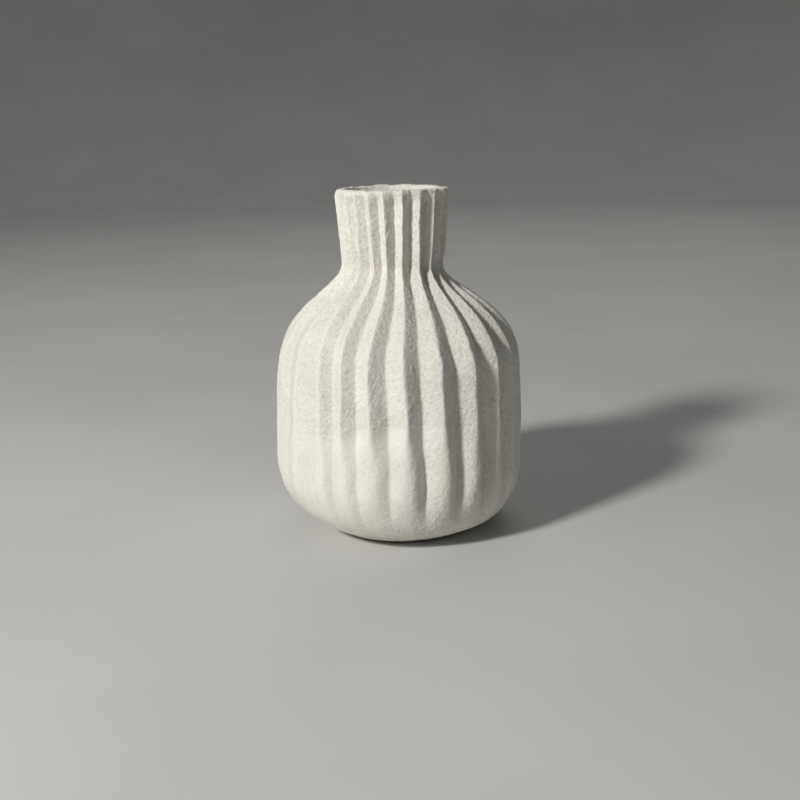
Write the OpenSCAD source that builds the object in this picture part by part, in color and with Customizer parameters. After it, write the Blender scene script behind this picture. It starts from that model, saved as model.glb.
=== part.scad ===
// Bud vase of white grogged stoneware: a thrown foot slab, a carved lower
// wall, a carved shoulder and a carved neck, luted together with slip and
// lined with glaze. The sections are fired into one rigid vase.
//
// Origin at the centre of the foot's resting face. +Z is up, the front
// faces -Y and +X is to the right. Angles round the vase start at the
// front and grow towards +X.

/* [Body] */
// Height of the vase from the foot to the lip
vase_h = 130.5; // [126:0.5:136]
// Radius of the belly over the ridges
belly_r = 48.3; // [46.5:0.2:50.5]
// Radius of the flat resting face of the foot
foot_r = 26; // [24:0.5:28]
// How far the bevel over the foot widens for each unit of height
foot_bevel = 2; // [1.6:0.1:3]
// Height at which the rounded lower corner meets the wall
corner_h = 30; // [26:1:34]
// Fullness of the lower corner, where a higher value cuts it back to a cone
corner_cone = 0.6; // [0.5:0.02:0.7]
// How much the wall draws in between the corner and the shoulder
wall_draw = 1.2; // [0:0.2:2]
// Height at which the shoulder starts to turn in
shoulder_z = 62; // [60:1:66]
// Fullness of the shoulder, where a higher value stays wide for longer
shoulder_full = 1.5; // [1.3:0.05:1.6]

/* [Neck] */
// Height at which the shoulder ends and the neck starts
neck_z = 103; // [101:1:105]
// Radius of the neck's root over the ridges
root_r = 19.7; // [19:0.1:20.5]
// Radius of the neck under the lip, over the ridges
top_r = 21.9; // [20.5:0.1:23]
// Sideways drift of the neck from the axis of the foot
lean = -0.7; // [-1.5:0.1:0]
// Radius of the bore through the neck, before the glaze
bore_r = 16; // [15:0.1:16.4]
// Radius of the mouth where it meets the flat of the lip
mouth_r = 17.8; // [17:0.1:18.4]
// Depth over which the mouth flares
mouth_h = 5; // [3:0.5:7]
// Rounding of the lip's outer edge
lip_round = 1.1; // [0.8:0.1:2]

/* [Flutes] */
// Depth of a flute on the belly as a share of the radius
flute_cut = 0.076; // [0.03:0.002:0.08]
// Depth of a flute on the neck as a share of the radius
neck_cut = 0.11; // [0.04:0.01:0.11]
// Height at which the flutes have run out on the lower corner
flute_low_z = 12; // [11:1:18]
// Height at which the flutes reach their full depth
flute_full_z = 30; // [28:1:44]
// Height of the band under the lip in which the flutes run out
flute_lip_h = 3; // [2:0.5:5]
// Height above the start of the shoulder at which the flutes start to twist
twist_lag = 12; // [0:1:20]

/* [Walls] */
// Thickness of the floor
floor_t = 7; // [5:0.5:8]
// Thickness of the belly wall over the ridges
wall_t = 7.4; // [7:0.2:8]
// How much lower the inside of the shoulder turns in than the outside
shoulder_drop = 4; // [3:0.5:5]
// Clearance of the shoulder's inner edge round the neck bore
edge_gap = 1.2; // [1.1:0.1:1.3]
// Thickness of the glaze that lines the inside
glaze_t = 0.35; // [0.3:0.05:0.4]

/* [Luted joints] */
// Height of the joint between the foot slab and the lower wall
slab_z = 9; // [9:0.5:11]
// Height of the joint between the lower wall and the shoulder
belly_z = 50; // [48:1:52]
// Height of the joint between the shoulder and the neck
collar_z = 98; // [97:0.5:99]
// Thickness of the slip in a joint
slip_t = 0.6; // [0.4:0.1:0.8]
// How far the belly slip stands proud of the wall
slip_bead = 0.35; // [0:0.05:0.4]
// Height of the lap that stands up inside a joint
lap_h = 3; // [2:0.5:3.5]
// Thickness of the lap
lap_t = 1.5; // [1.2:0.1:2]

/* [Hidden] */

// Ridge directions round the belly and round the neck, in degrees. The
// flutes are cut by eye, so their spacing varies.
belly_ridges = [-38, -26, -13, 3, 20, 36, 51, 65, 81, 96, 113, 128,
    145, 162, 177, 194, 209, 224, 241, 258, 273, 289, 306];
neck_ridges = [-39, -23, -7, 10, 28, 45, 61, 76, 91, 106, 121, 137,
    152, 168, 184, 199, 215, 231, 246, 262, 277, 293, 309];
flutes = len(belly_ridges);
flute_steps = 8;

stoneware = [0.87, 0.85, 0.80];
slip_white = [0.92, 0.90, 0.86];
glaze_white = [0.94, 0.94, 0.91];

eps = 0.01;
clear = 5;
corner_steps = 12;
shoulder_steps = 16;
mouth_steps = 5;
shell_fn = 96;

belly_in_r = belly_r - wall_t;
edge_r = bore_r + edge_gap;
base_lap_r = inner_r(slab_z + lap_h) + lap_t;
belly_lap_r = inner_r(belly_z + lap_h) + lap_t;
sleeve_t = slip_t / 2;
bore_top_z = vase_h - mouth_h;

function unit(t) = min(1, max(0, t));
function lerp(a, b, t) = a + (b - a) * t;
function smooth(t) = let (u = unit(t)) u * u * (3 - 2 * u);

// A rounded rise from 0 to 1, level at the end
function swell(t, fullness = 0.5) = pow(1 - pow(1 - unit(t), 2), fullness);

// The shoulder's fall from 1 to 0
function fall(z) =
    (1 + cos(180 * pow(unit((z - shoulder_z) / (neck_z - shoulder_z)), shoulder_full))) / 2;

// Share of the way from the belly ridges to the neck ridges
function rise(z) = smooth((z - shoulder_z - twist_lag) / (neck_z - shoulder_z - twist_lag));

function neck_r(z) = lerp(root_r, top_r, unit((z - neck_z) / (vase_h - neck_z)));
function belly_wall_r(z) = belly_r - wall_draw * unit((z - corner_h) / (shoulder_z - corner_h));
function lip_cut(z) =
    lip_round * (1 - sqrt(1 - pow(unit((z - vase_h + lip_round) / lip_round), 2)));

// Radius of the outside over the ridges
function outer_r(z) = z < corner_h
    ? min(foot_r + foot_bevel * z, lerp(foot_r, belly_r, swell(z / corner_h, corner_cone)))
    : lerp(neck_r(z), belly_wall_r(z), fall(z)) - lip_cut(z);

// Radius of the hollow
function inner_r(z) = z < corner_h
    ? lerp(foot_r, belly_in_r, swell((z - floor_t) / (corner_h - floor_t)))
    : lerp(edge_r, belly_in_r, fall(z + shoulder_drop));

// Depth of the flutes, which run out low on the body and under the lip
function flute_depth(z) = lerp(flute_cut, neck_cut, rise(z)) * outer_r(z)
    * smooth((z - flute_low_z) / (flute_full_z - flute_low_z))
    * smooth((vase_h - lip_round / 2 - z) / flute_lip_h);

// Section of one flute, from ridge to ridge: a rounded pillow with a crisp
// valley low down, and two flat facets that meet in a V from the belly up
function flute_shape(t, z) =
    let (facet = 1 - abs(2 * t - 1))
    lerp(facet * facet, facet, smooth((z - corner_h) / (belly_z - corner_h)));

function ridge_az(i, z) = 360 * floor(i / flutes)
    + lerp(belly_ridges[i % flutes], neck_ridges[i % flutes], rise(z));

function drift(z) = lean * smooth((z - shoulder_z) / (collar_z - shoulder_z));

// Points round the outside at one height, grown outwards by a margin
function flute_ring(z, grow) = [
    for (i = [0 : flutes - 1])
        for (k = [0 : flute_steps - 1])
            let (t = k / flute_steps)
            let (az = lerp(ridge_az(i, z), ridge_az(i + 1, z), t))
            let (r = outer_r(z) + grow - flute_depth(z) * flute_shape(t, z))
            [drift(z) + r * sin(az), -r * cos(az), z]
];

// Heights that divide a stretch evenly
function even(z0, z1, n) = [for (i = [0 : n]) lerp(z0, z1, i / n)];

// Solid with the carved outside, through the given heights
module fluted(heights, grow = 0) {
    n = flutes * flute_steps;
    top = len(heights) - 1;
    foot_mid = n * (top + 1);
    lip_mid = foot_mid + 1;
    rings = [for (z = heights) each flute_ring(z, grow)];
    sides = [
        for (j = [0 : top - 1])
            for (i = [0 : n - 1])
                let (a = j * n + i, b = j * n + (i + 1) % n)
                each [[a, a + n, b + n], [a, b + n, b]]
    ];
    foot_fan = [for (i = [0 : n - 1]) [foot_mid, i, (i + 1) % n]];
    lip_fan = [for (i = [0 : n - 1]) [lip_mid, top * n + (i + 1) % n, top * n + i]];
    mids = [[drift(heights[0]), 0, heights[0]], [drift(heights[top]), 0, heights[top]]];
    polyhedron(points = concat(rings, mids), faces = concat(sides, foot_fan, lip_fan));
}

// The hollow of the body, drawn in by a margin all round
module hollow(margin = 0) {
    corner = [
        for (z = even(floor_t, corner_h, corner_steps))
            [inner_r(z) - margin, max(z, floor_t + margin)]
    ];
    shoulder = [
        for (z = even(shoulder_z - shoulder_drop, collar_z, shoulder_steps))
            [inner_r(z) - margin, z]
    ];
    roof_z = collar_z + slip_t - margin;
    outline = concat([[0, floor_t + margin]], corner, shoulder,
        [[edge_r - margin, roof_z], [0, roof_z]]);
    rotate_extrude($fn = shell_fn)
        polygon(outline);
}

// The bore through the neck, drawn in by a margin
module neck_bore(margin = 0) {
    translate([lean, 0, collar_z - clear])
        cylinder(h = bore_top_z - collar_z + clear + eps, r = bore_r - margin, $fn = shell_fn);
}

module mouth() {
    flare = [
        for (z = even(bore_top_z, vase_h, mouth_steps))
            [lerp(mouth_r, bore_r, swell((vase_h - z) / mouth_h)), z]
    ];
    translate([lean, 0, 0])
        rotate_extrude($fn = shell_fn)
            polygon(concat([[0, bore_top_z]], flare, [[mouth_r, vase_h + 1], [0, vase_h + 1]]));
}

// The lap that stands up inside a joint
module lap(z, lap_r) {
    translate([0, 0, z - eps])
        cylinder(h = lap_h + eps, r = lap_r, $fn = shell_fn);
}

// The room that a lap and the slip round it take out of the upper section
module lap_socket(z, lap_r) {
    translate([0, 0, z])
        cylinder(h = lap_h + slip_t, r = lap_r + sleeve_t, $fn = shell_fn);
}

module base_slab() {
    outside = [for (z = even(0, slab_z, corner_steps)) [outer_r(z), z]];
    color(stoneware)
        difference() {
            union() {
                rotate_extrude($fn = shell_fn)
                    polygon(concat([[0, 0]], outside, [[0, slab_z]]));
                lap(slab_z, base_lap_r);
            }
            hollow();
        }
}

module base_seam_slip() {
    color(slip_white)
        difference() {
            union() {
                translate([0, 0, slab_z])
                    cylinder(h = slip_t, r = outer_r(slab_z), $fn = shell_fn);
                lap_socket(slab_z, base_lap_r);
            }
            lap(slab_z, base_lap_r);
            hollow();
        }
}

module lower_wall() {
    color(stoneware)
        difference() {
            union() {
                fluted(even(slab_z + slip_t, belly_z, 10));
                lap(belly_z, belly_lap_r);
            }
            lap_socket(slab_z, base_lap_r);
            hollow();
        }
}

module belly_seam_slip() {
    color(slip_white)
        difference() {
            union() {
                fluted([belly_z, belly_z + slip_t], slip_bead);
                lap_socket(belly_z, belly_lap_r);
            }
            lap(belly_z, belly_lap_r);
            hollow();
        }
}

module shoulder_wall() {
    color(stoneware)
        difference() {
            fluted(even(belly_z + slip_t, collar_z, 14));
            lap_socket(belly_z, belly_lap_r);
            hollow();
        }
}

module neck_seam_slip() {
    color(slip_white)
        difference() {
            fluted([collar_z, collar_z + slip_t]);
            hollow();
        }
}

module neck_collar() {
    lip_z = vase_h - lip_round;
    color(stoneware)
        difference() {
            fluted(concat(
                even(collar_z + slip_t, vase_h - 2 * lip_round, 8),
                even(lip_z, vase_h, 3)
            ));
            neck_bore();
            mouth();
        }
}

module liner_glaze() {
    color(glaze_white)
        difference() {
            union() {
                hollow();
                intersection() {
                    neck_bore();
                    translate([lean, 0, collar_z])
                        cylinder(h = bore_top_z - collar_z, r = 2 * bore_r, $fn = shell_fn);
                }
            }
            hollow(glaze_t);
            neck_bore(glaze_t);
        }
}

base_slab();
base_seam_slip();
lower_wall();
belly_seam_slip();
shoulder_wall();
neck_seam_slip();
neck_collar();
liner_glaze();
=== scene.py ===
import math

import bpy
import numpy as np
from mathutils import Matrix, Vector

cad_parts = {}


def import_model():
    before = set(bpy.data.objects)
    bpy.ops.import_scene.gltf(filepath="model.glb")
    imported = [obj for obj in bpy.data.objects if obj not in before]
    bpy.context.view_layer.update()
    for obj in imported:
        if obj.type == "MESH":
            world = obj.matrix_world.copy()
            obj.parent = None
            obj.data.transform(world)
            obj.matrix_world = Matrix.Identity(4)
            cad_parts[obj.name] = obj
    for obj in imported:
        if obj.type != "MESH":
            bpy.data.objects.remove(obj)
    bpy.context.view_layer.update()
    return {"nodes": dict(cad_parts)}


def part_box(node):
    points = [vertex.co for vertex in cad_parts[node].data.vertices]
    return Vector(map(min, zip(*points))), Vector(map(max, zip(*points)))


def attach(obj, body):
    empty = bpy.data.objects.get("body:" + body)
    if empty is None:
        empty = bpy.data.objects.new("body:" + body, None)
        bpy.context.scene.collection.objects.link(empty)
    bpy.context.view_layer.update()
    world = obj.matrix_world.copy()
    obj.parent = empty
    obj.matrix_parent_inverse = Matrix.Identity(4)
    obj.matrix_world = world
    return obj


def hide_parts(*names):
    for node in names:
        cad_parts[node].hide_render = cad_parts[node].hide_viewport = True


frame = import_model()

# A hand-built, hand-carved stoneware bud vase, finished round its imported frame.
#
# Shapes are worked out in millimetres and turned into metres when a piece is made. +Z is up, the
# front faces -Y and +X is to the right. Angles round the vase are in degrees from the front and
# grow towards +X.

MM = 0.001


# ---------------------------------------------------------------- sizes, in mm, from the frame

def low(node, axis=2):
    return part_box(node)[0][axis] / MM


def high(node, axis=2):
    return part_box(node)[1][axis] / MM


VASE_H = high("neck_collar")
SLAB_Z = low("base_seam_slip")
BELLY_Z = low("belly_seam_slip")
COLLAR_Z = low("neck_seam_slip")
SLIP_T = high("neck_seam_slip") - COLLAR_Z
BELLY_R = (high("lower_wall", 0) - low("lower_wall", 0)) / 2
LEAN = (high("neck_collar", 0) + low("neck_collar", 0)) / 2
HOLLOW_R = high("liner_glaze", 0)
FLOOR_T = low("liner_glaze")
LAP_H = high("lower_wall") - BELLY_Z

# Where the outer skins of two sections meet, half-way up the slip in each joint
JOINT_FOOT = SLAB_Z + SLIP_T / 2
JOINT_BELLY = BELLY_Z + SLIP_T / 2
JOINT_NECK = COLLAR_Z + SLIP_T / 2
# The hair's breadth between two skins
HAIR = 0.002

# How far the mean surface stays inside the frame's outline, so that grain and dents fit under it
SKIN = 0.36
# How far the lip stays under the frame's top
LIP_SKIN = 0.14

# The flat of the foot, the slope of its bevel, and how far the foot stands to the right
FOOT_R = 26.0
FOOT_BEVEL = 2.0
FOOT_SHIFT = 1.0
# How high the wall starts over the flat, where its edge is worn, and how far in the flat ends
FOOT_WEAR_Z = 0.25
FOOT_WEAR = 1.2
# The round lower corner: where it ends, and how full it is
CORNER_H = 30.0
CORNER_CONE = 0.6
# The belly draws in by this much up to the shoulder, which falls away to the root of the neck
WALL_DRAW = 1.2
SHOULDER_Z = 62.0
SHOULDER_FULL = 1.5
NECK_Z = 103.0
# How much lower the shoulder lies inside
SHOULDER_DROP = 4.0
# How far over the shoulder the ridges start to turn to their places round the neck
TWIST_LAG = 12.0
# Outside of the neck at its root and at its top
ROOT_R = 19.7
TOP_R = 21.9
# The hollow just under the neck, the bore, and the mouth that the bore flares out to
EDGE_R = 17.2
BORE_R = 16.03
MOUTH_R = 17.4
MOUTH_H = 5.0
# Chips out of the lip: direction and half width in degrees, and depth
CHIPS = ((47, 4, 0.4), (62, 3, 0.35), (-24, 3, 0.3),
         (118, 4, 0.4), (205, 3, 0.35), (262, 5, 0.4))
# Height of the lip's crown, and how far its outer edge is rounded at the front and on each side
CROWN_H = 0.6
LIP_ROUND = 1.3
LEFT_ROUND = 2.8
RIGHT_ROUND = 1.7
# How far the lip dips: towards the back, at the right, in slow waves, and in quick waves at the
# front and at the back
REAR_DIP = 0.22
RIGHT_DIP = 0.6
SLOW_WAVES = 0.10
FRONT_WAVES = 0.18
REAR_WAVES = 0.65
# How far the mouth is pushed in on the right
MOUTH_IN = 0.75
# Thickness of the lap by which one section stands in the next
LAP_T = 1.5
# How far a section's edge goes straight in before its joint's face begins, and at the neck
EDGE_IN = 1.0
NECK_EDGE_IN = 0.5

# Depth of the flutes as a share of the radius, on the belly and on the neck
FLUTE_CUT = 0.080
NECK_CUT = 0.125
# The deepest that a flute is ever cut, which leaves the laps covered
DEEPEST = 3.75
# Where the flutes start low on the foot, and where they reach their full depth
FLUTE_LOW_Z = 6.5
FLUTE_FULL_Z = 29.0
# The share of a flute's depth that is left at the lip, the height over which it fades to that,
# and how far under the top the fade ends
LIP_SHARE = 0.3
FADE_H = 5
FADE_TOP = 0.8
# Where the valley lies between two ridges, on the belly and on the neck
VALLEY = 0.47
NECK_VALLEY = 0.55
# How sharp a valley is, and a ridge where the wall was rubbed and where it was not
VALLEY_CRISP = 0.98
RUBBED_CRISP = 0.91
RIDGE_CRISP = 0.97
# Low down the ridges are broader: by what power, and up to what height in full
BROAD = 1.8
BROAD_Z = 26
# How far over the belly joint the wall is rough all over
ROUGH_OVER = 1.2

# How far a ridge strays sideways, in mm: slowly on the belly and on the neck, and quickly
BELLY_SWAY = 0.6
NECK_SWAY = 0.8
QUICK_SWAY = 0.26
# How far the ridges fan out sideways up the neck, in degrees, and the direction they fan from
NECK_SPREAD = 3.5
SPREAD_FROM = 12
# The flutes on the left are cut shallower: the middle one of them, how many flutes it is to
# either side before they are deep again, and how much shallower
SHALLOW_FLUTE = 22.0
SHALLOW_REACH = 1.9
SHALLOW = 0.55
# How much of a flute's depth is rubbed away on the left of the front, below the belly joint
RUBBED_AWAY = 0.52

# Where the wall lies in from a true round, on each side: middle height, half height and depth.
# A depth below 0 is a bulge.
LEFT_SAGS = ((73.5, 9.5, 1.75), (6.5, 3.2, 1.8), (20.5, 6.0, -0.6))
RIGHT_SAGS = ((97, 6.0, 1.75), (30, 11.0, 1.1))
# The clay's sand: grain size, how far it stands up, and where it is taken from the noise
SAND = ((1.7, 0.045, 0.0), (1.0, 0.08, 11.3), (0.7, 0.08, 23.9))
# The lowest and highest that the sand reaches, and the share of it left where it is rubbed off
SAND_LOW = -0.25
SAND_HIGH = 0.22
RUBBED_SAND = 0.25
# How far crumbs stand up and pits go in
CRUMB_H = 0.45
PIT_H = 0.35

# How coarse the rubbed wall is on the left, how much more so on the right, and how it varies
RUBBED_COARSE = 0.34
RIGHT_COARSER = 0.48
COARSE_VARIES = 0.15
# Over what height the rough wall turns to the rubbed one, and at the middle of the front
WIDE_BLEND = 13.0
FRONT_BLEND = 1.6
# How much coarser the flutes are torn beside the belly joint, and how proud the ledge under it is
TORN = 0.75
LEDGE = 0.16
# How coarse the lip is sanded, and how near a ridge and how coarse its finish is. The lip's
# nearness to a ridge also gives it a faint painted highlight
LIP_SAND = 0.8
LIP_SHADE = 0.85

# Ridge directions round the belly and round the neck
BELLY_RIDGES = [-38, -26, -13, 3, 20, 36, 51, 65, 81, 96, 113, 128,
                145, 162, 177, 194, 209, 224, 241, 258, 273, 289, 306]
NECK_RIDGES = [-39, -23, -7, 10, 28, 45, 61, 76, 91, 106, 121, 137,
               152, 168, 184, 199, 215, 231, 246, 262, 277, 293, 309]
FLUTES = len(BELLY_RIDGES)

ACROSS = 30
ROW_STEP = 0.48
COLUMNS = FLUTES * ACROSS


# ---------------------------------------------------------------- the maker's hand

class Grain:
    """Smooth noise through space, from -1 to 1, the same on every run. It repeats after SIDE
    steps."""

    SIDE = 48

    def __init__(self, seed):
        self.knots = np.random.default_rng(seed).uniform(-1, 1, (self.SIDE,) * 3)

    def __call__(self, x, y=0.0, z=0.0):
        x, y, z = np.broadcast_arrays(x, y, z)
        cells = []
        shares = []
        for line in (x, y, z):
            whole = np.floor(line)
            part = line - whole
            cells.append(whole.astype(int) % self.SIDE)
            shares.append(part * part * (3 - 2 * part))
        total = np.zeros(x.shape)
        for corner in range(8):
            weight = np.ones(x.shape)
            at = []
            for axis in range(3):
                far = corner >> axis & 1
                weight = weight * (shares[axis] if far else 1 - shares[axis])
                at.append((cells[axis] + far) % self.SIDE)
            total += weight * self.knots[at[0], at[1], at[2]]
        return total


wander = Grain(11)
dents = Grain(23)
sand = Grain(37)
crumbs = Grain(41)


def unit(t):
    return np.clip(t, 0.0, 1.0)


def lerp(a, b, t):
    return a + (b - a) * t


def smooth(t):
    u = unit(t)
    return u * u * (3 - 2 * u)


# ---------------------------------------------------------------- the outline

def fall(z):
    """1 up to the shoulder, falling to 0 at the root of the neck."""
    turn = unit((z - SHOULDER_Z) / (NECK_Z - SHOULDER_Z)) ** SHOULDER_FULL
    return (1 + np.cos(math.pi * turn)) / 2


def rise(z):
    """0 on the belly, rising to 1 where the ridges have turned to their places on the neck."""
    start = SHOULDER_Z + TWIST_LAG
    return smooth((z - start) / (NECK_Z - start))


def outer_r(z):
    """Radius of the outside over the ridges."""
    swell = (1 - (1 - unit(z / CORNER_H)) ** 2) ** CORNER_CONE
    corner = np.minimum(FOOT_R + FOOT_BEVEL * z, lerp(FOOT_R, BELLY_R, swell))
    neck = lerp(ROOT_R, TOP_R, unit((z - NECK_Z) / (VASE_H - NECK_Z)))
    wall = BELLY_R - WALL_DRAW * unit((z - CORNER_H) / (SHOULDER_Z - CORNER_H))
    return np.where(z < CORNER_H, corner, lerp(neck, wall, fall(z))) - SKIN


def inner_r(z):
    """Radius of the hollow."""
    swell = np.sqrt(1 - (1 - unit((z - FLOOR_T) / (CORNER_H - FLOOR_T))) ** 2)
    corner = lerp(FOOT_R, HOLLOW_R, swell)
    return np.where(z < CORNER_H, corner, lerp(EDGE_R, HOLLOW_R, fall(z + SHOULDER_DROP)))


def drift(z):
    """How far the middle of the vase lies to the right at each height."""
    neck = LEAN * smooth((z - SHOULDER_Z) / (COLLAR_Z - SHOULDER_Z))
    return neck + FOOT_SHIFT * (1 - smooth(z / CORNER_H))


def above_joint(z, blend=8.0):
    """0 on the rubbed lower wall and 1 on the rough wall over the belly joint. The change is
    spread over a band of blend mm that ends just over the joint."""
    return smooth((z - BELLY_Z - ROUGH_OVER + blend) / blend)


def flute_depth(z):
    """Depth of an even flute at each height."""
    full = lerp(FLUTE_CUT, NECK_CUT, rise(z)) * outer_r(z)
    full = full * lerp(LIP_SHARE, 1.0, smooth((VASE_H - FADE_TOP - z) / FADE_H))
    return full * smooth((z - FLUTE_LOW_Z) / (FLUTE_FULL_Z - FLUTE_LOW_Z))


def vee(t, z):
    """Section of a flute, from 0 on its ridges to 1 in its valley: two facets that meet in a V,
    with the edges a little worn above the belly joint and more below it."""
    low_at = lerp(VALLEY, NECK_VALLEY, rise(z))
    phase = np.where(t < low_at, 0.5 * t / low_at, 0.5 + 0.5 * (t - low_at) / (1 - low_at))
    crest = np.cos(2 * math.pi * phase)
    ridge_crisp = lerp(RUBBED_CRISP, RIDGE_CRISP, above_joint(z))
    crisp = lerp(VALLEY_CRISP, ridge_crisp, (1 + crest) / 2)
    facets = 0.5 - np.arcsin(crisp * crest) / (2 * np.arcsin(crisp))
    broad = lerp(BROAD, 1.0, smooth((z - BROAD_Z) / (BELLY_Z - BROAD_Z)))
    return np.maximum(facets, 0) ** broad


# ---------------------------------------------------------------- carved surfaces

def ridge_angles(z):
    """Direction of every ridge at each height, and of the first one again, a row per height."""
    turns = np.arange(FLUTES + 1)
    belly = np.array(BELLY_RIDGES + [BELLY_RIDGES[0] + 360], float)
    neck = np.array(NECK_RIDGES + [NECK_RIDGES[0] + 360], float)
    rows = lerp(belly, neck, rise(z)[:, None])
    degrees_per_mm = 57.3 / np.maximum(outer_r(z), 15)[:, None]
    own, level = turns % FLUTES, z[:, None]
    sway = lerp(BELLY_SWAY, NECK_SWAY, rise(z))[:, None] * wander(7.3 * own + 0.5, level / 17)
    sway = sway + QUICK_SWAY * wander(9.1 * own + 0.5, level / 6.5, 3.3)
    spread = NECK_SPREAD * unit((z - NECK_Z) / (VASE_H - NECK_Z))[:, None]
    return rows + sway * degrees_per_mm + spread * np.sin(np.radians(rows - SPREAD_FROM))


def cut_share(flute, gap, angle, height):
    """How deep each flute is cut, as a share of an even one. A wide flute is deeper, each one
    varies a little, and those on the left and the rubbed ones are shallow."""
    share = np.clip(gap, 0.75, 1.2) + 0.10 * wander(3.7 * flute + 0.7, height / 26, 4.5)
    shallow = SHALLOW * np.exp(-((flute + 0.5 - SHALLOW_FLUTE) / SHALLOW_REACH) ** 4)
    left = 1 - smooth(0.5 + 1.7 * (np.sin(angle) - 0.15))
    rubbed = RUBBED_AWAY * left * smooth(0.5 + np.cos(angle))
    share = share * (1 - shallow * (1 - rise(height)))
    return share * (1 - rubbed * smooth((BELLY_Z - 2 - height) / 10))


def edge_rounding(angle, height):
    """How far the outer edge of the lip is worn in."""
    rounding = lerp(LIP_ROUND, LEFT_ROUND, np.maximum(-np.sin(angle), 0) ** 2)
    rounding = lerp(rounding, RIGHT_ROUND, np.maximum(np.sin(angle), 0) ** 2)
    up = unit((height - VASE_H + rounding) / rounding)
    return rounding * (1 - np.sqrt(1 - np.minimum(up, 0.95) ** 2))


def sag(east, height):
    """How far the wall lies in from a true round: east is 1 on the right and -1 on the left."""
    left, right = (
        sum(deep * np.exp(-((height - at) / half) ** 2) for at, half, deep in sags)
        for sags in (LEFT_SAGS, RIGHT_SAGS))
    return left * np.maximum(-east, 0) ** 2 + right * np.maximum(east, 0) ** 2


def carved(z, inset=0.0):
    """The carved outside at each height, as an array of rows x columns x 3, and how near each
    point is to a ridge, from 0 in a valley to 1."""
    z = np.asarray(z, float)
    column = np.arange(COLUMNS) / ACROSS
    flute = column.astype(int)
    t = (column - flute)[None, :]
    ridges = ridge_angles(z)
    angle = np.radians(lerp(ridges[:, flute], ridges[:, flute + 1], t))
    height = z[:, None] + 0 * angle

    bend = 0.05 * wander(5.1 * flute + 0.3, height / 21, 9.5)
    bend = bend + 0.02 * wander(6.7 * flute + 0.3, height / 7, 1.5)
    hollow = vee(t + bend * np.sin(math.pi * t), height)
    gap = (ridges[:, flute + 1] - ridges[:, flute]) * FLUTES / 360
    deep = np.minimum(flute_depth(height) * cut_share(flute, gap, angle, height), DEEPEST)
    radius = outer_r(height) - inset - deep * hollow
    radius = radius - edge_rounding(angle, height)

    east = np.sin(angle) * radius
    south = np.cos(angle) * radius
    radius = radius - sag(east / radius, height)
    radius = radius + 0.13 * dents(east / 15, south / 15, height / 20)
    radius = radius + 0.07 * dents(east / 5 + 9, south / 5, height / 7)
    across = drift(height) + radius * np.sin(angle)
    return np.stack([across, -radius * np.cos(angle), height], -1), 1 - hollow


def facing(points):
    """Outward normals of rows x columns of points that close on themselves sideways."""
    along = np.roll(points, -1, 1) - np.roll(points, 1, 1)
    up = np.gradient(points, axis=0)
    normal = np.cross(along, up)
    return normal / np.maximum(np.linalg.norm(normal, axis=-1, keepdims=True), 1e-9)


def sandy(points, coarse):
    """Raises the sand of the clay, with crumbs and pits, more where coarse is nearer 1."""
    x, y, z = points[..., 0], points[..., 1], points[..., 2]
    turned = (0.8 * x + 0.6 * y, 0.8 * y - 0.6 * x, z)

    def strewn(noise, size, offset):
        return noise(*(c / size + offset for c in turned))

    grain = sum(height * strewn(sand, size, offset) for size, height, offset in SAND)
    bits = np.maximum(strewn(crumbs, 1.4, 3.1) - 0.50, 0) * CRUMB_H
    pits = np.maximum(strewn(crumbs, 1.2, 7.7) - 0.52, 0) * PIT_H
    lift = lerp(RUBBED_SAND, 1.0, coarse) * grain + coarse * (bits - pits)
    return points + facing(points) * np.clip(lift, SAND_LOW, SAND_HIGH)[..., None]


def even_heights(z0, z1):
    """Heights from z0 to z1 that divide the outline into even steps."""
    z = np.linspace(z0, z1, 2000)
    run = np.concatenate([[0], np.cumsum(np.hypot(np.diff(outer_r(z)), np.diff(z)))])
    count = max(4, round(run[-1] / ROW_STEP))
    return np.interp(np.linspace(0, run[-1], count + 1), run, z)


def plain_rings(profile, shift=0.0):
    """Round rings through (radius, height) pairs, with the same columns as the carved rings."""
    angle = np.radians(BELLY_RIDGES[0] + np.arange(COLUMNS) * 360 / COLUMNS)
    rings = [
        np.stack([shift + r * np.sin(angle), -r * np.cos(angle), z + 0 * angle], -1)
        for r, z in profile
    ]
    return np.array(rings)


# ---------------------------------------------------------------- making pieces

# How near a ridge, and how coarse, a surface out of sight is taken to be
HIDDEN = (0.5, 0.5)


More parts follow.
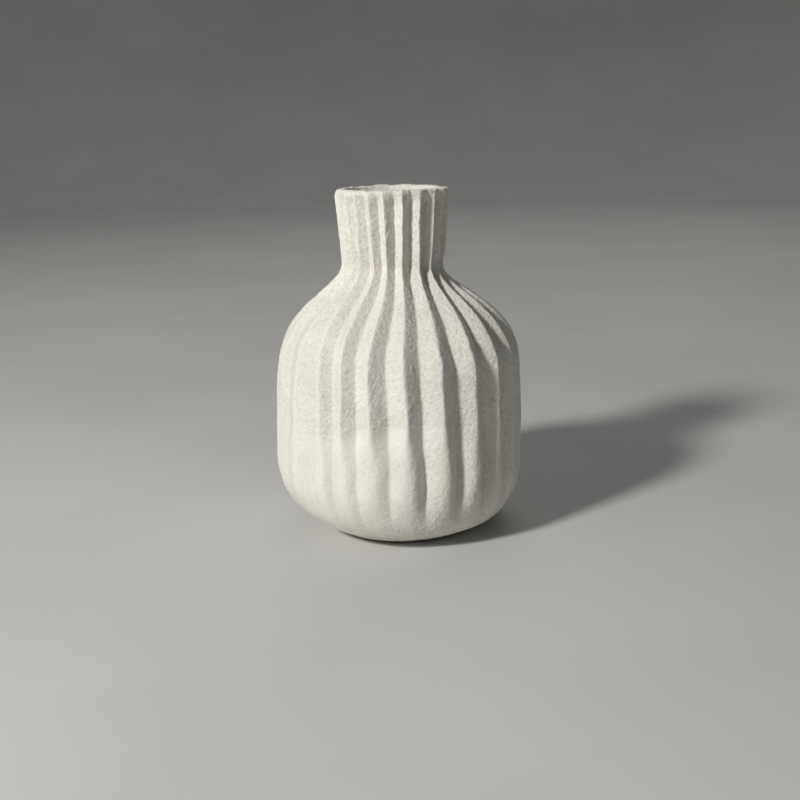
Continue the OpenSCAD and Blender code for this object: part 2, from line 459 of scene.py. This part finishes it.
def piece(name, rows, shade, node, finish, edges=(), closed=True):
    """A mesh from rings of points, joined in order, standing for one node of the frame. Its shade
    says how near each point is to a ridge, and how coarse it is. The rings listed in edges are
    sharp. Where it isn't closed, its first and last rings are filled in to the middle."""
    rows = np.asarray(rows, float)
    count, around = rows.shape[:2]
    points = rows.reshape(-1, 3)
    j = np.arange(count if closed else count - 1)[:, None]
    i = np.arange(around)[None, :]
    above = (j + 1) % count
    beside = (i + 1) % around
    quads = np.stack([
        j * around + i, j * around + beside, above * around + beside, above * around + i], -1)
    faces = quads.reshape(-1, 4).tolist()
    shade = np.asarray(shade, float).reshape(-1, 2)
    if not closed:
        middles = [rows[0].mean(0), rows[-1].mean(0)]
        first, last = len(points), len(points) + 1
        points = np.concatenate([points, middles])
        shade = np.concatenate([shade, [HIDDEN, HIDDEN]])
        top = (count - 1) * around
        faces += [[first, (k + 1) % around, k] for k in range(around)]
        faces += [[last, top + k, top + (k + 1) % around] for k in range(around)]
    mesh = bpy.data.meshes.new(name)
    mesh.from_pydata((points * MM).tolist(), [], faces)
    mesh.polygons.foreach_set("use_smooth", [True] * len(mesh.polygons))
    for layer, values in zip(("ridge", "coarse"), shade.T):
        mesh.attributes.new(layer, "FLOAT", "POINT").data.foreach_set("value", values.tolist())
    ends = np.zeros(len(mesh.edges) * 2, int)
    mesh.edges.foreach_get("vertices", ends)
    ring = ends.reshape(-1, 2) // around
    sharp = (ring[:, 0] == ring[:, 1]) & np.isin(ring[:, 0], np.array(edges, int) % count)
    mesh.attributes.new("sharp_edge", "BOOLEAN", "EDGE").data.foreach_set("value", sharp.tolist())
    mesh.update()
    made = bpy.data.objects.new(name, mesh)
    bpy.context.collection.objects.link(made)
    mesh.materials.append(finish)
    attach(made, "root")
    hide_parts(node)


# ---------------------------------------------------------------- finishes

class Amount:
    """One number that varies over a surface. Its operators add Math nodes."""

    def __init__(self, finish, socket):
        self.finish = finish
        self.socket = socket

    def maths(self, operation, first, second):
        return self.finish.node("ShaderNodeMath", {"operation": operation}, {0: first, 1: second})

    def __add__(self, other):
        return self.maths("ADD", self, other)

    __radd__ = __add__

    def __sub__(self, other):
        return self.maths("SUBTRACT", self, other)

    def __rsub__(self, other):
        return self.maths("SUBTRACT", other, self)

    def __mul__(self, other):
        return self.maths("MULTIPLY", self, other)

    __rmul__ = __mul__

    def __gt__(self, other):
        return self.maths("GREATER_THAN", self, other)

    def __lt__(self, other):
        return self.maths("LESS_THAN", self, other)


class Finish:
    """A material, and the one way that its nodes are added."""

    def __init__(self, name):
        self.material = bpy.data.materials.new(name)
        self.material.use_nodes = True
        self.tree = self.material.node_tree
        self.tree.nodes.clear()

    def node(self, kind, settings=None, inputs=None, output=0):
        made = self.tree.nodes.new(kind)
        for key, value in (settings or {}).items():
            setattr(made, key, value)
        for key, value in (inputs or {}).items():
            if isinstance(value, Amount):
                self.tree.links.new(value.socket, made.inputs[key])
            else:
                made.inputs[key].default_value = value
        return Amount(self, made.outputs[output]) if made.outputs else None

    def place(self):
        """Where a point is on the vase, in millimetres."""
        where = self.node("ShaderNodeTexCoord", output="Object")
        return self.node(
            "ShaderNodeVectorMath", {"operation": "SCALE"}, {0: where, "Scale": 1 / MM})

    def noise(self, place, size, detail=2.0, rough=0.5, warp=0.0):
        """Noise from 0 to 1 with lumps about size millimetres across."""
        return self.node("ShaderNodeTexNoise", inputs={
            "Vector": place, "Scale": 1 / size, "Detail": detail, "Roughness": rough,
            "Distortion": warp})

    def step(self, value, start, end, low_value=0.0, high_value=1.0):
        """Follows value smoothly from one level to another."""
        return self.node("ShaderNodeMapRange", {"interpolation_type": "SMOOTHSTEP"}, {
            "Value": value, "From Min": start, "From Max": end, "To Min": low_value,
            "To Max": high_value})

    def mix(self, share, first, second):
        """A colour between two others."""
        def paint(colour):
            return colour if isinstance(colour, Amount) else (*colour, 1.0)

        return self.node("ShaderNodeMix", {"data_type": "RGBA"}, {
            0: share, 6: paint(first), 7: paint(second)}, output=2)

    def shader(self, inputs):
        surface = self.node("ShaderNodeBsdfPrincipled", inputs=inputs)
        self.node("ShaderNodeOutputMaterial", inputs={"Surface": surface})
        return self.material


# CLAY_LIGHT is the clay's light tone, and is also painted as a highlight along the ridges
CLAY_LIGHT = (0.83, 0.82, 0.765)
CLAY_MID = (0.75, 0.735, 0.675)
CLAY_DARK = (0.50, 0.48, 0.42)
# CLAY_WARM is a warm tone for random streaks, and is also painted shade in the flutes' valleys
CLAY_WARM = (0.75, 0.705, 0.655)
SPECK = (0.035, 0.03, 0.027)
SLIP_DULL = (0.79, 0.775, 0.72)
SLIP_WHITE = (0.85, 0.835, 0.785)
GLAZE_THIN = (0.72, 0.70, 0.64)
GLAZE_THICK = (0.62, 0.63, 0.57)
PINHOLE = (0.30, 0.27, 0.23)
FLOOR_DARK = (0.58, 0.577, 0.568)
FLOOR_LIGHT = (0.62, 0.617, 0.608)


def specks(finish, place, spacing, size, share):
    """Spots of about size millimetres in radius: 1 inside one and 0 elsewhere. Their places are
    spacing millimetres apart, and only a share of the places holds one."""
    nearest = {"feature": "F1"}
    inputs = {"Vector": place, "Scale": 1 / spacing}
    near = finish.node("ShaderNodeTexVoronoi", nearest, inputs, "Distance")
    pick = finish.node("ShaderNodeTexVoronoi", nearest, inputs, "Color")
    red = finish.node("ShaderNodeSeparateColor", inputs={0: pick}, output=0)
    return (near < size / spacing) * (red < share)


def clay(name):
    """Bare stoneware: sandy where coarse is 1, rubbed smooth and slipped where it is 0."""
    finish = Finish(name)
    place = finish.place()
    ridge = finish.node("ShaderNodeAttribute", {"attribute_name": "ridge"}, output="Fac")
    coarse = finish.node("ShaderNodeAttribute", {"attribute_name": "coarse"}, output="Fac")
    mottle = finish.noise(place, 1.15, 3.0, 0.6)
    grains = finish.noise(place, 0.55, 3.0, 0.62)
    patches = finish.noise(place, 15.0, 3.0, 0.55, 0.6)
    streaks = finish.noise(place, 6.5, 2.0, 0.5)

    tone = finish.mix(finish.step(patches, 0.35, 0.66), CLAY_MID, CLAY_LIGHT)
    tone = finish.mix(finish.step(streaks, 0.56, 0.74, 0.0, 0.40 * coarse), tone, CLAY_WARM)
    tone = finish.mix(finish.step(mottle, 0.52, 0.30, 0.0, 0.10 + 0.36 * coarse), tone, CLAY_DARK)
    tone = finish.mix(finish.step(mottle, 0.54, 0.72, 0.0, 0.55), tone, CLAY_LIGHT)
    # Painted highlight: every ridge is lightened along its length, partly as worn edges and
    # partly as a highlight painted on them
    tone = finish.mix(finish.step(ridge, 0.80, 0.98, 0.0, 0.55), tone, CLAY_LIGHT)
    # Painted shade: the flutes' valleys are tinted warmer and darker, as the shade that falls in
    # them
    tone = finish.mix(finish.step(ridge, 0.25, 0.0, 0.0, 0.45), tone, CLAY_WARM)
    tone = finish.mix(finish.step(grains, 0.50, 0.32, 0.0, 0.12 + 0.16 * coarse), tone, CLAY_DARK)
    tone = finish.mix(specks(finish, place, 9.0, 0.33, 0.13), tone, SPECK)

    lumps = mottle * (0.9 * coarse + 0.12) + grains * (0.72 * coarse + 0.13)
    bump = finish.node("ShaderNodeBump", inputs={
        "Strength": 1.0, "Distance": 0.34 * MM, "Height": lumps}, output="Normal")
    return finish.shader({
        "Base Color": tone,
        "Roughness": finish.step(grains, 0.3, 0.7, 0.96, 0.84),
        "Specular IOR Level": 0.28,
        "Normal": bump})


def slip(name):
    """Smooth white slip, squeezed out of a joint."""
    finish = Finish(name)
    place = finish.place()
    lumps = finish.noise(place, 1.1, 3.0, 0.6)
    tone = finish.mix(finish.step(lumps, 0.3, 0.7), SLIP_DULL, SLIP_WHITE)
    bump = finish.node("ShaderNodeBump", inputs={
        "Strength": 1.0, "Distance": 0.1 * MM, "Height": lumps}, output="Normal")
    return finish.shader({
        "Base Color": tone,
        "Roughness": finish.step(lumps, 0.3, 0.7, 0.9, 0.78),
        "Specular IOR Level": 0.3,
        "Normal": bump})


def glaze(name):
    """Thin clear glaze over white slip, with pinholes and thicker, greener runs."""
    finish = Finish(name)
    place = finish.place()
    runs = finish.noise(place, 9.0, 3.0, 0.5, 0.8)
    ripple = finish.noise(place, 2.6, 2.0, 0.5)
    tone = finish.mix(finish.step(runs, 0.35, 0.7), GLAZE_THIN, GLAZE_THICK)
    holes = specks(finish, place, 3.2, 0.16, 0.25)
    tone = finish.mix(holes, tone, PINHOLE)
    bump = finish.node("ShaderNodeBump", inputs={
        "Strength": 0.6, "Distance": 0.2 * MM, "Height": ripple - holes * 0.6}, output="Normal")
    return finish.shader({
        "Base Color": tone,
        "Roughness": finish.step(ripple, 0.3, 0.7, 0.22, 0.38),
        "Specular IOR Level": 0.5,
        "Normal": bump})


bare_clay = clay("bare_clay")
joint_slip = slip("joint_slip")
liner = glaze("liner_glaze")


# ---------------------------------------------------------------- the sections

def coarse_at(points):
    """1 on the rough wall. Below the belly joint it is less, and least on the left of the front,
    where the wall was rubbed smooth. The change is sudden only at the middle of the front."""
    angle = np.arctan2(points[..., 0], -points[..., 1])
    rubbed = RUBBED_COARSE + RIGHT_COARSER * smooth(0.5 + 1.6 * np.sin(angle - 0.15))
    patchy = wander(3 * np.sin(angle), 3 * np.cos(angle), points[..., 2] / 9)
    rubbed = rubbed + COARSE_VARIES * patchy
    blend = lerp(WIDE_BLEND, FRONT_BLEND, np.exp(-((angle - 0.05) / 0.5) ** 4))
    return lerp(rubbed, 1.0, above_joint(points[..., 2], blend))


def wall_rows(z0, z1):
    """The sanded outside between two heights, and its shade. The rough wall is torn coarser still
    in the flutes beside the belly joint."""
    heights = even_heights(z0, z1)
    points, ridge = carved(heights)
    points = points + facing(points) * ledge(points)[..., None]
    coarse = coarse_at(points)
    beside_joint = np.exp(-((heights - BELLY_Z - 1.0) / 6.0) ** 2)[:, None]
    torn = TORN * beside_joint * (1 - ridge) ** 1.5
    return sandy(points, coarse + torn), np.stack([ridge, coarse], -1)


def ledge(points):
    """Slip smeared on the lower wall stands proud just under the belly joint, at the front only,
    which leaves a faint step."""
    angle = np.arctan2(points[..., 0], -points[..., 1])
    under = JOINT_BELLY - points[..., 2]
    patchy = wander(9 * np.sin(angle) + 1, 9 * np.cos(angle), 5.5)
    raised = LEDGE * smooth(0.4 + 1.6 * patchy)
    raised = raised * np.exp(-(angle / 0.4) ** 2)
    return np.where(under > 0, raised * np.exp(-np.maximum(under, 0) / 2.5), 0.0)


def plain_shade(rings):
    return np.broadcast_to(HIDDEN, rings.shape[:2] + (2,))


def shell(outside, shade, inside):
    """The rings of a wall and their shade: up the carved outside, and down the plain inside."""
    return np.concatenate([outside, inside]), np.concatenate([shade, plain_shade(inside)])


def inside_path(z0, z1, count):
    """Radius and height along the hollow's wall."""
    z = np.linspace(z0, z1, count)
    return list(zip(inner_r(z), z))


def lap_radius(z):
    """Outer radius of the lap that stands up from the joint at this height."""
    return float(inner_r(z + LAP_H)) + LAP_T


def joint_face(outside, depth, z):
    """The face of a joint behind a section's edge: straight in by depth, and then up or down to
    its height in the frame."""
    angle = np.arctan2(outside[:, 0], -outside[:, 1])
    inward = np.stack([-np.sin(angle), np.cos(angle), 0 * angle], -1)
    level = outside + inward * depth
    stepped = level.copy()
    stepped[:, 2] = z
    return np.array([level, stepped])


def lower_wall():
    outside, shade = wall_rows(JOINT_FOOT + HAIR, JOINT_BELLY - HAIR)
    lap_r = lap_radius(BELLY_Z)
    base_lap_r = lap_radius(SLAB_Z) + SLIP_T / 2
    socket_z = SLAB_Z + LAP_H + SLIP_T
    over = joint_face(outside[-1], EDGE_IN, BELLY_Z)
    under = joint_face(outside[0], EDGE_IN, SLAB_Z + SLIP_T)[::-1]
    inside = plain_rings(
        [(lap_r, BELLY_Z), (lap_r, BELLY_Z + LAP_H)]
        + inside_path(BELLY_Z + LAP_H, socket_z, 12)
        + [(base_lap_r, socket_z), (base_lap_r, SLAB_Z + SLIP_T)])
    rings, shade = shell(outside, shade, np.concatenate([over, inside, under]))
    piece("lower_wall_carved", rings, shade, "lower_wall", bare_clay,
          edges=(0, len(outside) - 1))


def shoulder_wall():
    outside, shade = wall_rows(JOINT_BELLY + HAIR, JOINT_NECK - HAIR)
    socket_r = lap_radius(BELLY_Z) + SLIP_T / 2
    socket_z = BELLY_Z + LAP_H + SLIP_T
    over = joint_face(outside[-1], NECK_EDGE_IN, COLLAR_Z)
    under = joint_face(outside[0], EDGE_IN, BELLY_Z + SLIP_T)[::-1]
    inside = plain_rings(
        inside_path(COLLAR_Z, socket_z, 14)
        + [(socket_r, socket_z), (socket_r, BELLY_Z + SLIP_T)])
    rings, shade = shell(outside, shade, np.concatenate([over, inside, under]))
    piece("shoulder_carved", rings, shade, "shoulder_wall", bare_clay,
          edges=(0, len(outside) - 1))


def mouth_ring(r, z, uneven=1.0):
    """A ring of the mouth, pushed in and out a little where the flutes were carved from outside,
    and in most on the right, where the lip is thick."""
    ring = plain_rings([(r, z)], LEAN)[0]
    angle = np.arctan2(ring[:, 0] - LEAN, -ring[:, 1])
    east, south = np.sin(angle), np.cos(angle)
    push = 0.35 * wander(5 * east + 2, 5 * south, 4.4)
    push = push + 0.2 * wander(12 * east + 2, 12 * south, 7.7)
    push = push - MOUTH_IN * np.maximum(east, 0) ** 2
    ring[:, 0] += uneven * push * east
    ring[:, 1] -= uneven * push * south
    return ring


def neck_collar():
    """The neck: up the carved outside, over the rounded crown of the lip, down the flare of the
    mouth to the bore, and back under to the joint."""
    lip_z = VASE_H - CROWN_H
    flare_z = VASE_H - MOUTH_H
    outside, shade = wall_rows(JOINT_NECK + HAIR, lip_z)
    edge = carved(np.array([lip_z]))[0][0]
    mouth = mouth_ring(MOUTH_R, lip_z)
    crown = []
    for turn in np.linspace(0, math.pi, 19)[1:]:
        ring = lerp(edge, mouth, (1 - math.cos(turn)) / 2)
        ring[:, 2] = lip_z + (CROWN_H - LIP_SKIN) * max(math.sin(turn), 0) ** 0.55
        crown.append(ring)
    flare = []
    for share in np.linspace(0, 1, 9)[1:]:
        r = lerp(MOUTH_R, BORE_R, share ** 0.6)
        flare.append(mouth_ring(r, lerp(lip_z, flare_z, share), 1 - share))
    # The lip is sanded with the rows beside it, which have their sand already
    done = outside[-4:]
    lip = np.concatenate([done, np.array(crown), np.array(flare)])
    lip = sandy(lip, LIP_SAND + 0 * lip[..., 0])[len(done):]
    skin = np.concatenate([outside, lip])
    skin[..., 2] -= lip_dip(skin) * smooth((skin[..., 2] - VASE_H + 6) / 4)
    bore_z = np.linspace(flare_z - 1.5, COLLAR_Z + SLIP_T, 10)
    bore = plain_rings([(BORE_R, z) for z in bore_z], LEAN)
    under = joint_face(outside[0], NECK_EDGE_IN, COLLAR_Z + SLIP_T)[::-1]
    shade = np.concatenate([shade, np.full((len(lip), COLUMNS, 2), LIP_SHADE)])
    rings, shade = shell(skin, shade, np.concatenate([bore, under]))
    piece("neck_carved", rings, shade, "neck_collar", bare_clay, edges=(0,))


def lip_dip(points):
    """How far the lip dips: more at the back and on the right, in slow and quick waves, and in
    small chips."""
    angle = np.arctan2(points[..., 0] - LEAN, -points[..., 1])
    east, south = np.sin(angle), np.cos(angle)
    rear = (1 - south) / 2
    lean = REAR_DIP * rear + RIGHT_DIP * np.maximum(east, 0) ** 4
    slow = SLOW_WAVES * (1 + wander(2.2 * east + 3, 2.2 * south + 5, 8.2)) / 2
    quick = 1 + wander(7 * east + 3, 7 * south + 5, 2.2)
    quick = lerp(FRONT_WAVES, REAR_WAVES, rear) * quick / 2
    radius = np.hypot(points[..., 0] - LEAN, points[..., 1])
    outer = smooth((radius - MOUTH_R - 0.8) / 1.6)
    chips = 0
    for at, wide, deep in CHIPS:
        away = (np.degrees(angle) - at + 180) % 360 - 180
        chips = chips + deep * np.exp(-(away / wide) ** 2) * outer
    return lean + slow + quick + chips


def base_slab():
    outside, shade = wall_rows(FOOT_WEAR_Z, JOINT_FOOT - HAIR)
    lap_r = lap_radius(SLAB_Z)
    under = plain_rings([(r, 0.0) for r in (4, 9, 14, 19, 22, FOOT_R - FOOT_WEAR)], FOOT_SHIFT)
    over = joint_face(outside[-1], EDGE_IN, SLAB_Z)
    inside = plain_rings(
        [(lap_r, SLAB_Z), (lap_r, SLAB_Z + LAP_H)]
        + inside_path(SLAB_Z + LAP_H, FLOOR_T, 9)
        + [(18, FLOOR_T), (12, FLOOR_T), (6, FLOOR_T)])
    hidden = np.concatenate([over, inside])
    rings = np.concatenate([under, outside, hidden])
    shade = np.concatenate([plain_shade(under), shade, plain_shade(hidden)])
    piece("foot_slab", rings, shade, "base_slab", bare_clay,
          edges=(len(under) + len(outside) - 1,), closed=False)


def slip_ring(name, node, z, lap_r, cover, squeeze_out):
    """The slip in one joint: a ring that lies cover mm behind the skins and is squeezed out
    between them in places, and a sleeve round the lap where the joint has one."""
    heights = z + SLIP_T * np.linspace(0.1, 0.9, 7)
    outside, ridge = carved(heights, cover)
    angle = np.arctan2(outside[..., 0], -outside[..., 1])
    swell = np.sin(np.linspace(0.2, math.pi - 0.2, len(heights)))[:, None]
    places = wander(11 * np.sin(angle), 11 * np.cos(angle), 3.3)
    places = places + 0.5 * wander(37 * np.sin(angle), 37 * np.cos(angle), 6.1)
    outside = outside + facing(outside) * (squeeze_out * swell * smooth(places / 0.8))[..., None]
    if lap_r:
        sleeve_r = lap_r + SLIP_T / 2
        inner = plain_rings([
            (sleeve_r, z + SLIP_T), (sleeve_r, z + LAP_H), (lap_r, z + LAP_H), (lap_r, z)])
    else:
        inner = plain_rings([(EDGE_R, z + SLIP_T), (EDGE_R, z)])
    rings, shade = shell(outside, np.stack([ridge, ridge], -1), inner)
    piece(name, rings, shade, node, joint_slip)


base_slab()
lower_wall()
shoulder_wall()
neck_collar()
slip_ring("foot_joint_slip", "base_seam_slip", SLAB_Z, lap_radius(SLAB_Z),
          cover=1.2, squeeze_out=0.0)
slip_ring("belly_joint_slip", "belly_seam_slip", BELLY_Z, lap_radius(BELLY_Z),
          cover=0.32, squeeze_out=0.36)
slip_ring("neck_joint_slip", "neck_seam_slip", COLLAR_Z, 0, cover=0.7, squeeze_out=0.0)

inside_skin = frame["nodes"]["liner_glaze"]
inside_skin.data.materials.clear()
inside_skin.data.materials.append(liner)


# ---------------------------------------------------------------- floor, light and camera

# The floor, in metres: radius of its flat, radius of the bend up, and height of the backdrop
FLAT_R = 1.5
BEND_R = 1.0
BACKDROP_H = 2.2
FLOOR_SIDES = 96

# The camera: where it stands, in metres, how far it looks down and how far it is turned, in
# degrees, and its lens and sensor, in mm
CAMERA_AT = (0.0004, -0.445, 0.1596)
LOOK_DOWN = 14
TURNED = -1.5
LENS = 53.3
SENSOR = 36.0

DAYLIGHT = (0.93, 0.96, 1.0, 1.0)
DAYLIGHT_POWER = 0.055


def floor():
    """A pale floor that sweeps up into a round backdrop well clear of the vase."""
    finish = Finish("studio_floor")
    place = finish.place()
    cloud = finish.noise(place, 160.0, 3.0, 0.5)
    tooth = finish.noise(place, 1.2, 2.0, 0.5)
    tone = finish.mix(finish.step(cloud, 0.3, 0.7), FLOOR_DARK, FLOOR_LIGHT)
    bump = finish.node("ShaderNodeBump", inputs={
        "Strength": 0.3, "Distance": 0.1 * MM, "Height": tooth}, output="Normal")
    material = finish.shader({
        "Base Color": tone, "Roughness": 0.8, "Specular IOR Level": 0.3, "Normal": bump})
    profile = [(FLAT_R * k / 4, 0.0) for k in range(1, 5)]
    profile += [(FLAT_R + BEND_R * math.sin(t), BEND_R * (1 - math.cos(t)))
                for t in np.linspace(0, math.pi / 2, 17)[1:]]
    profile.append((FLAT_R + BEND_R, BACKDROP_H))
    points = [(0, 0, 0)]
    for r, z in profile:
        points += [(r * math.cos(a), r * math.sin(a), z)
                   for a in np.linspace(0, 2 * math.pi, FLOOR_SIDES + 1)[:-1]]
    sides = [(k, (k + 1) % FLOOR_SIDES) for k in range(FLOOR_SIDES)]
    faces = [(0, 1 + k, 1 + beside) for k, beside in sides]
    for j in range(len(profile) - 1):
        lower = 1 + j * FLOOR_SIDES
        upper = lower + FLOOR_SIDES
        faces += [(lower + k, upper + k, upper + beside, lower + beside) for k, beside in sides]
    mesh = bpy.data.meshes.new("floor")
    mesh.from_pydata(points, [], faces)
    mesh.polygons.foreach_set("use_smooth", [True] * len(mesh.polygons))
    mesh.materials.append(material)
    made = bpy.data.objects.new("floor", mesh)
    bpy.context.collection.objects.link(made)


def softbox(name, azimuth, elevation, distance, size, power, colour):
    """A round soft light aimed at the middle of the vase: angles in degrees, sizes in metres and
    power in watts."""
    lamp = bpy.data.lights.new(name, "AREA")
    lamp.shape = "DISK"
    lamp.size = size
    lamp.energy = power
    lamp.color = colour
    a, e = math.radians(azimuth), math.radians(elevation)
    toward = np.array([math.sin(a) * math.cos(e), -math.cos(a) * math.cos(e), math.sin(e)])
    middle = np.array([0, 0, VASE_H * MM * 0.5])
    made = bpy.data.objects.new(name, lamp)
    made.location = middle + toward * distance
    made.rotation_euler = (math.pi / 2 - e, 0, a)
    bpy.context.collection.objects.link(made)


def camera():
    lens = bpy.data.cameras.new("camera")
    lens.lens = LENS
    lens.sensor_width = SENSOR
    made = bpy.data.objects.new("camera", lens)
    place = Matrix.Translation(CAMERA_AT)
    tilt = Matrix.Rotation(math.radians(90 - LOOK_DOWN), 4, "X")
    roll = Matrix.Rotation(math.radians(TURNED), 4, "Z")
    made.matrix_world = place @ tilt @ roll
    bpy.context.collection.objects.link(made)
    bpy.context.scene.camera = made


def world():
    sky = bpy.data.worlds.new("studio")
    sky.use_nodes = True
    air = sky.node_tree.nodes["Background"]
    air.inputs["Color"].default_value = DAYLIGHT
    air.inputs["Strength"].default_value = DAYLIGHT_POWER
    bpy.context.scene.world = sky


floor()
softbox("key", azimuth=-45, elevation=31, distance=1.25, size=0.18, power=14.2,
        colour=(1.0, 0.985, 0.95))
softbox("fill", azimuth=55, elevation=45, distance=1.4, size=1.2, power=0.1,
        colour=(0.94, 0.97, 1.0))
softbox("back", azimuth=168, elevation=52, distance=1.6, size=1.3, power=4.5,
        colour=(1.0, 0.99, 0.97))
world()
camera()
bpy.context.scene.view_settings.view_transform = "Standard"
